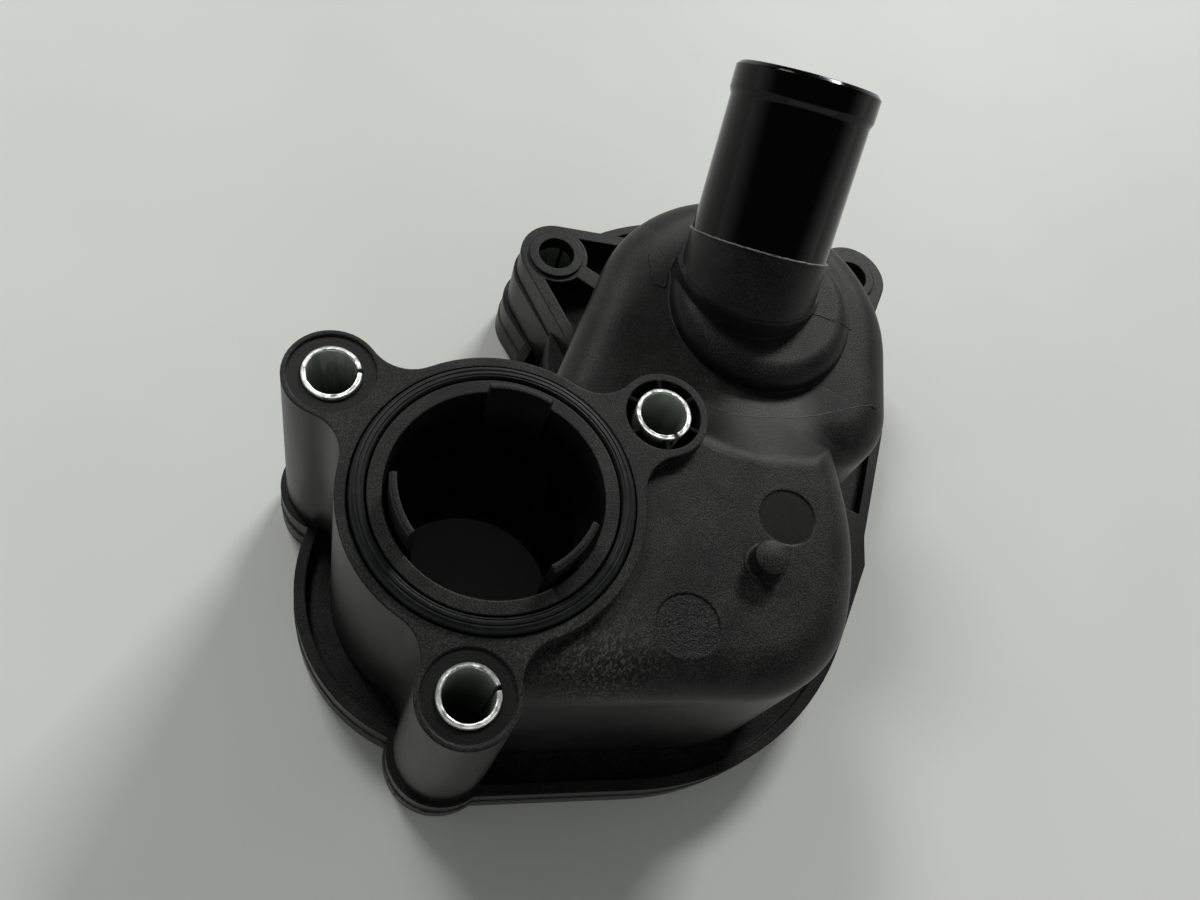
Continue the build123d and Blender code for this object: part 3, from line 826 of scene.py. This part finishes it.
@dataclass
class WeldFlash(Builder):
    """The bead of melted nylon that the weld squeezed out between the flange and the lower shell."""

    layout: Layout
    shell: Object
    radius: float = 0.26
    wobble: float = 0.9
    spacing: float = 0.8
    inset: float = 0.28
    cut_depth: float = 0.4
    rise: float = 0.45
    waviness: float = 0.12
    hollow_reach: float = 30.0
    crumb_places: tuple[Spot, ...] = ((-38.8, -7.0), (14.4, -40.0))
    crumb_reach: float = 10.0
    crumb_radius: float = 0.42
    crumb_grain: float = 1700.0
    torn_grain: float = 2900.0

    def outline(self) -> list[Vector]:
        """Finds the outline of the lower shell at the weld.

        Returns:
            Evenly spaced points on the outline, in order.
        """
        level = (self.layout.shell_height - self.cut_depth) * MM
        mesh = bmesh.new()
        mesh.from_mesh(self.shell.data)
        bmesh.ops.remove_doubles(mesh, verts=mesh.verts, dist=0.001 * MM)
        bmesh.ops.bisect_plane(mesh, geom=[*mesh.verts, *mesh.edges, *mesh.faces], plane_co=(0, 0, level),
                               plane_no=UP, clear_inner=True, clear_outer=True)
        loops = []
        left = set(mesh.verts)
        while left:
            corner = min(left, key=lambda item: tuple(item.co))
            loop = []
            while corner is not None:
                left.discard(corner)
                loop.append(corner.co.copy())
                near = [edge.other_vert(corner) for edge in corner.link_edges]
                corner = min((other for other in near if other in left), key=lambda item: tuple(item.co),
                             default=None)
            loops.append(loop)
        mesh.free()
        longest = max(loops, key=lambda loop: sum((a - b).length for a, b in zip(loop, loop[1:] + loop[:1])))
        return self.spaced(longest)

    def spaced(self, loop: Sequence[Vector]) -> list[Vector]:
        """Walks a loop in even steps.

        Args:
            loop: The loop's corners.

        Returns:
            Points at the class's spacing along the loop.
        """
        step = self.spacing * MM
        points = []
        owed = 0.0
        for start, end in zip(loop, [*loop[1:], loop[0]]):
            length = (end - start).length
            while owed < length:
                points.append(start.lerp(end, owed / length))
                owed += step
            owed -= length
        return points

    def bead_line(self, outline: Sequence[Vector]) -> list[Vector]:
        """The line that the bead follows, a little inside the outline and wavy in height.

        Args:
            outline: Points on the outline, in order.

        Returns:
            The line's points.
        """
        middle = sum(outline, Vector()) / len(outline)
        points = []
        for before, point, after in zip([outline[-1], *outline[:-1]], outline, [*outline[1:], outline[0]]):
            inward = (after - before).normalized().cross(UP)
            home = middle - point
            if inward.dot(home) < 0 and home.length > self.hollow_reach * MM:
                inward = -inward
            rise = self.rise + self.waviness * noise.noise(point * 400.0)
            points.append(point + inward * self.inset * MM + UP * rise * MM)
        return points

    def build(self) -> None:
        """Builds the bead round the weld, with crumbs where the photograph shows them."""
        outline = self.outline()
        points = self.bead_line(outline)
        mesh = bmesh.new()
        self.bead(mesh, points, self.radius, self.wobble, True)
        heaps = [Vector((*place, self.layout.shell_height)) * MM for place in self.crumb_places]
        for heap, point in itertools.product(heaps, points):
            size = noise.noise(point * self.crumb_grain) + 0.1
            if (point - heap).length < self.crumb_reach * MM and size > 0:
                radius = self.crumb_radius * (0.6 + size) * MM
                spot = Matrix.Translation(point)
                lump = bmesh.ops.create_icosphere(mesh, subdivisions=2, radius=radius, matrix=spot)
                for corner in lump["verts"]:
                    torn = 1.0 + self.wobble * noise.noise(corner.co * self.torn_grain)
                    corner.co = point + (corner.co - point) * torn
        for axis in (0, 1):
            low, high = min(point[axis] for point in outline), max(point[axis] for point in outline)
            for corner in mesh.verts:
                corner.co[axis] = min(max(corner.co[axis], low), high)
        self.settle("weld_flash", mesh, Slot.HOUSING)


@dataclass
class LocatingPeg(Builder):
    """The deck's locating peg, with its flat top and the ring round its foot."""

    layout: Layout
    radius: float = 3.3
    top: float = 65.65
    foot_radius: float = 4.0
    foot_height: float = 0.3
    sunk: float = 0.3
    steps: int = 96

    def build(self) -> None:
        """Builds the peg over the CAD model's plain one."""
        base, top, radius = self.layout.deck_height - self.sunk, self.top, self.radius
        foot = self.layout.deck_height + self.foot_height
        ring = [(self.foot_radius + 0.2, base), (self.foot_radius, foot - 0.1),
                (self.foot_radius - 0.25, foot), (radius + 0.12, foot + 0.04), (radius, foot + 0.3)]
        crown = [(radius, top - 0.45), (radius - 0.12, top - 0.15), (radius - 0.4, top), (0.0, top)]
        mesh = self.spun([(0.0, base), *ring, *crown], (*self.layout.peg, 0), self.steps)
        bmesh.ops.remove_doubles(mesh, verts=mesh.verts, dist=0.001 * MM)
        self.settle("locating_peg", mesh, Slot.HOUSING)


@dataclass
class DeckSaddle(Builder):
    """A thin skin drawn over the hollow between deck and tower, which runs out softly."""

    housing: Object
    layout: Layout
    across: Spot = (13.0, 66.0)
    along: Spot = (30.5, 60.0)
    lowest: float = 46.0
    steepest: float = 0.05
    bead_gap: float = 0.6
    deck_margin: float = 0.7
    ray_height: float = 200.0
    spacing: float = 0.6
    passes: int = 500
    lift: float = 0.012
    thickness: float = 0.5

    def covered(self, hit: Vector, normal: Vector) -> bool:
        """Whether the skin covers a point of the housing.

        Args:
            hit: The point, in metres.
            normal: The housing's normal there.

        Returns:
            True where it lies in the hollow, clear of the bead, the boss and the neck.
        """
        layout = self.layout
        keep_off = ((layout.bead, layout.bead_radius + self.bead_gap),
                    (layout.boss_right, layout.boss_reach), ((0.0, 0.0), layout.neck_reach))
        flat = Vector((hit.x, hit.y)) / MM
        clear = all((flat - Vector(centre)).length > radius for centre, radius in keep_off)
        level = self.lowest * MM < hit.z < (layout.deck_height + self.deck_margin) * MM
        return clear and level and normal.z > self.steepest

    def spot(self, row: int, column: int) -> Spot:
        """A corner's place in metres, seen from above."""
        return (self.across[0] + row * self.spacing) * MM, (self.along[0] + column * self.spacing) * MM

    def drawn(self, height: np.ndarray, cells: np.ndarray) -> np.ndarray:
        """Draws the skin tight: held at its rim, and never under the housing.

        Args:
            height: The housing's height under each corner.
            cells: Which corners the skin covers.

        Returns:
            The skin's height at each corner.
        """
        free = cells.copy()
        for axis, step in itertools.product((0, 1), (1, -1)):
            free &= np.roll(cells, step, axis)
        free[0, :] = free[-1, :] = free[:, 0] = free[:, -1] = False
        skin = height.copy()
        for _ in range(self.passes):
            mean = sum(np.roll(skin, step, axis) for axis in (0, 1) for step in (-1, 1)) / 4
            skin = np.where(free, np.maximum(height, mean), height)
        return skin + np.where(free, self.lift, -self.lift) * MM

    def build(self) -> Object:
        """Builds the skin as a closed sheet on the housing.

        Returns:
            The skin.
        """
        tree = self.surface((self.housing,))
        rows, columns = (round((high - low) / self.spacing) + 1 for low, high in (self.across, self.along))
        height = np.zeros((rows, columns))
        cells = np.zeros((rows, columns), bool)
        for row, column in np.ndindex(rows, columns):
            start = Vector((*self.spot(row, column), self.ray_height * MM))
            hit, normal, _, _ = tree.ray_cast(start, -UP)
            if hit is not None:
                height[row, column] = hit.z
                cells[row, column] = self.covered(hit, normal)
        skin = self.drawn(height, cells)

        mesh = bmesh.new()
        bmesh.ops.create_grid(mesh, x_segments=rows - 1, y_segments=columns - 1, size=0.5)
        lost = []
        for corner in mesh.verts:
            row = round((corner.co.x + 0.5) * (rows - 1))
            column = round((corner.co.y + 0.5) * (columns - 1))
            corner.co = (*self.spot(row, column), skin[row, column])
            if not cells[row, column]:
                lost.append(corner)
        bmesh.ops.delete(mesh, geom=lost, context="VERTS")
        loose = [corner for corner in mesh.verts if not corner.link_faces]
        bmesh.ops.delete(mesh, geom=loose, context="VERTS")
        under = bmesh.ops.extrude_face_region(mesh, geom=mesh.faces[:], use_keep_orig=True)["geom"]
        lowered = [item for item in under if isinstance(item, bmesh.types.BMVert)]
        bmesh.ops.translate(mesh, verts=lowered, vec=(0, 0, -self.thickness * MM))
        return self.settle("deck_saddle", mesh, Slot.HOUSING)


@dataclass
class SurfaceLine(Builder):
    """A fine raised line on the housing, laid where the photograph shows it."""

    carriers: Sequence[Object]
    camera: PhotoCamera
    name: str
    pixels: tuple[Spot, ...]
    radius: float = 0.1
    wobble: float = 0.5
    jitter: float = 0.6
    longest_step: float = 1.6
    fewest_points: int = 4

    def pixel_path(self) -> list[Spot]:
        """The line's pixels, shaken a little.

        Returns:
            Pixels about one apart.
        """
        path = []
        for (x0, y0), (x1, y1) in zip(self.pixels, self.pixels[1:]):
            count = max(1, round(math.hypot(x1 - x0, y1 - y0)))
            for step in range(count):
                share = step / count
                x, y = x0 + (x1 - x0) * share, y0 + (y1 - y0) * share
                shake = self.jitter * noise.noise(Vector((x, y, 0)) * 0.35)
                path.append((x + shake, y - shake))
        return path

    def build(self) -> None:
        """Lays the line on what the camera sees of its carriers at its pixels."""
        tree = self.surface(self.carriers)
        eye = Vector(self.camera.place) * MM
        runs: list[list[Vector]] = [[]]
        for pixel in self.pixel_path():
            hit, _, _, _ = tree.ray_cast(eye, self.camera.ray(pixel))
            if hit is None:
                continue
            if runs[-1] and (hit - runs[-1][-1]).length > self.longest_step * MM:
                runs.append([])
            runs[-1].append(hit)
        mesh = bmesh.new()
        for run in runs:
            if len(run) >= self.fewest_points:
                self.bead(mesh, run, self.radius, self.wobble)
        self.settle(self.name, mesh, Slot.HOUSING)


@dataclass
class Studio:
    """The pale floor, the soft light and the camera at the photograph's angle."""

    floor_size: float = 3.0
    floor_colour: Colour = (0.75, 0.76, 0.73)
    rear_power: float = 90.0
    rear_place: Point = (0.21, 3.38, 2.25)
    rear_size: Spot = (1.05, 0.6)
    left_power: float = 29.0
    left_place: Point = (-1.73, 1.2, 2.1)
    left_size: Spot = (0.75, 0.75)
    fill_strength: float = 0.78
    fill_spread: Spot = (0.15, 0.75)
    fill_shades: tuple[Colour, Colour] = ((0.97, 1.0, 0.98), (0.1, 0.1, 0.1))
    room_spread: Spot = (0.03, 0.4)
    room_shades: tuple[Colour, Colour] = ((0.74, 0.76, 0.74), (0.035, 0.037, 0.035))
    lamp_colour: Colour = (1.0, 1.0, 0.985)
    eye: PhotoCamera = PhotoCamera()

    def floor(self) -> None:
        """Lays the pale, faintly glossy floor."""
        mesh = bmesh.new()
        bmesh.ops.create_grid(mesh, x_segments=1, y_segments=1, size=self.floor_size / 2)
        floor = new_object("floor", mesh)
        graph = Graph("floor_laminate")
        tint = graph.noise(60.0, 3.0)
        shade = tuple(part * 0.97 for part in self.floor_colour)
        colour = graph.blend(graph.fade(tint, 0.3, 0.7), shade, self.floor_colour)
        grain = graph.noise(0.9, 2.0)
        graph.shader.inputs["Specular IOR Level"].default_value = 0.25
        floor.data.materials.append(graph.finish(colour, 0.55, graph.bump(grain, 0.02, 0.25)))

    def world(self) -> None:
        """Sets the room that the camera and gloss see, pale under a dim ceiling, and the fill light."""
        world = bpy.data.worlds.new("room")
        bpy.context.scene.world = world
        world.use_nodes = True
        tree = world.node_tree
        tree.nodes.clear()
        path = tree.nodes.new("ShaderNodeLightPath")
        seen = None
        for name in ("Is Glossy Ray", "Is Transmission Ray"):
            node = tree.nodes.new("ShaderNodeMath")
            node.operation = "MAXIMUM"
            tree.links.new(seen or path.outputs["Is Camera Ray"], node.inputs[0])
            tree.links.new(path.outputs[name], node.inputs[1])
            seen = node.outputs[0]
        parts = tree.nodes.new("ShaderNodeSeparateXYZ")
        tree.links.new(tree.nodes.new("ShaderNodeTexCoord").outputs["Generated"], parts.inputs[0])
        room, fill = (tree.nodes.new("ShaderNodeBackground") for _ in range(2))
        fill.inputs["Strength"].default_value = self.fill_strength
        for background, spread, shades in ((room, self.room_spread, self.room_shades),
                                           (fill, self.fill_spread, self.fill_shades)):
            ramp = tree.nodes.new("ShaderNodeValToRGB")
            tree.links.new(parts.outputs["Z"], ramp.inputs[0])
            for element, position, colour in zip(ramp.color_ramp.elements, spread, shades):
                element.position = position
                element.color = (*colour, 1.0)
            tree.links.new(ramp.outputs[0], background.inputs["Color"])
        mix, output = (tree.nodes.new(kind) for kind in ("ShaderNodeMixShader", "ShaderNodeOutputWorld"))
        for source, target in zip((seen, fill.outputs[0], room.outputs[0]), mix.inputs):
            tree.links.new(source, target)
        tree.links.new(mix.outputs[0], output.inputs["Surface"])

    def lamp(self, name: str, place: Point, size: Spot, power: float) -> None:
        """Hangs one soft rectangular lamp that faces the origin.

        Args:
            name: The lamp's name.
            place: Where it hangs, in metres.
            size: Its width and depth in metres.
            power: Its power in watts.
        """
        data = bpy.data.lights.new(name, "AREA")
        data.shape = "RECTANGLE"
        data.size, data.size_y = size
        data.energy = power
        data.color = self.lamp_colour
        lamp = new_object(name, data)
        lamp.location = place
        lamp.rotation_euler = (-Vector(place)).to_track_quat("-Z", "Y").to_euler()

    def camera(self) -> None:
        """Stands the camera where the photograph was taken from."""
        eye = self.eye
        data = bpy.data.cameras.new("photo_camera")
        data.sensor_width = 36.0
        data.lens = eye.focal_pixels / eye.image_size[0] * data.sensor_width
        data.clip_start = 0.01
        right, top, forward = eye.axes()
        turn = Matrix((right, top, -forward)).transposed().to_4x4()
        camera = new_object("photo_camera", data)
        camera.matrix_world = Matrix.Translation(Vector(eye.place) * MM) @ turn
        bpy.context.scene.camera = camera

    def build(self) -> None:
        """Sets up the whole studio."""
        self.floor()
        self.world()
        self.lamp("rear_lamp", self.rear_place, self.rear_size, self.rear_power)
        self.lamp("left_lamp", self.left_place, self.left_size, self.left_power)
        self.camera()
        bpy.context.scene.view_settings.view_transform = "Standard"
        LOG.info("studio")


@dataclass
class CarriedNodes:
    """The CAD nodes whose shapes are shown as they are, with their finishes."""

    nodes: dict[str, Object]

    def dress(self, material: Material, *names: str) -> None:
        """Gives some nodes a material.

        Args:
            material: The material.
            names: The nodes that take it.
        """
        for name in names:
            for slot in self.nodes[name].material_slots:
                slot.material = material
            LOG.info("%s: %s", name, material.name)


def clear_scene() -> None:
    """Takes away what Blender starts with."""
    for item in list(bpy.data.objects):
        bpy.data.objects.remove(item)


def corners(bounds: Sequence[Vector]) -> list[list[float]]:
    """A box's two corners as plain lists of numbers."""
    return [[float(part) for part in corner] for corner in bounds]


def main() -> None:
    """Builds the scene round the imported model."""
    logging.basicConfig(level=logging.INFO, format="%(name)s %(message)s")
    clear_scene()
    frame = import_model()
    nodes = frame["nodes"]
    layout = Layout()
    eye = PhotoCamera()
    Studio(eye=eye).build()

    moulded = HousingNylon("housing_nylon_moulded").material()
    shell_nylon = MouldedNylon("shell_nylon_moulded", roughness=0.46).material()
    steel = RolledSteel("rolled_steel").material()
    # The ear sleeves' tops get the same painted highlight along their rims.
    ear_steel = RolledSteel("ear_steel", rim_height=29.8).material()
    rubber = SealRubber().material()
    carried = CarriedNodes(nodes)
    carried.dress(moulded, "upper_housing")
    carried.dress(shell_nylon, "lower_shell")
    carried.dress(ear_steel, "ear_sleeve_left", "ear_sleeve_right")
    carried.dress(rubber, "base_seal")

    FaceSeal(rubber, layout).build()
    for node, place, slit_angle in (("sleeve_left", layout.boss_left, 34.0),
                                    ("sleeve_right", layout.boss_right, -38.0),
                                    ("sleeve_front", layout.boss_front, 41.0)):
        BoltSleeve(steel, node, place, slit_angle).build()

    collar_nylon = FlashNylon("collar_flash_nylon", pale=(0.22, 0.23, 0.21), share=0.62).material()
    weld_nylon = FlashNylon("weld_flash_nylon", share=0.25).material()
    peg_nylon = MouldedNylon("peg_nylon_moulded", edge_radius=0.15).material()
    CollarFlash(collar_nylon, layout).build()
    WeldFlash(weld_nylon, layout, nodes["lower_shell"]).build()
    LocatingPeg(peg_nylon, layout).build()
    saddle = DeckSaddle(moulded, nodes["upper_housing"], layout).build()

    carriers = (nodes["upper_housing"], saddle)
    # The roof's witness line is a raised ridge, painted pale as a highlight along the roof's crease.
    pale = FlashNylon("witness_highlight_nylon", (0.035, 0.036, 0.034), (0.09, 0.092, 0.088)).material()
    torn = FlashNylon("torn_nylon", (0.004, 0.004, 0.004), (0.05, 0.051, 0.048), 0.3).material()
    SurfaceLine(pale, carriers, eye, "roof_witness_line_highlight", ROOF_LINE, 0.09).build()
    SurfaceLine(torn, carriers, eye, "elbow_parting_left", LEFT_PARTING, 0.22, 0.9, 1.2).build()
    SurfaceLine(torn, carriers, eye, "elbow_parting_right", RIGHT_PARTING, 0.12, 0.8).build()


if __name__ == "__main__":
    main()
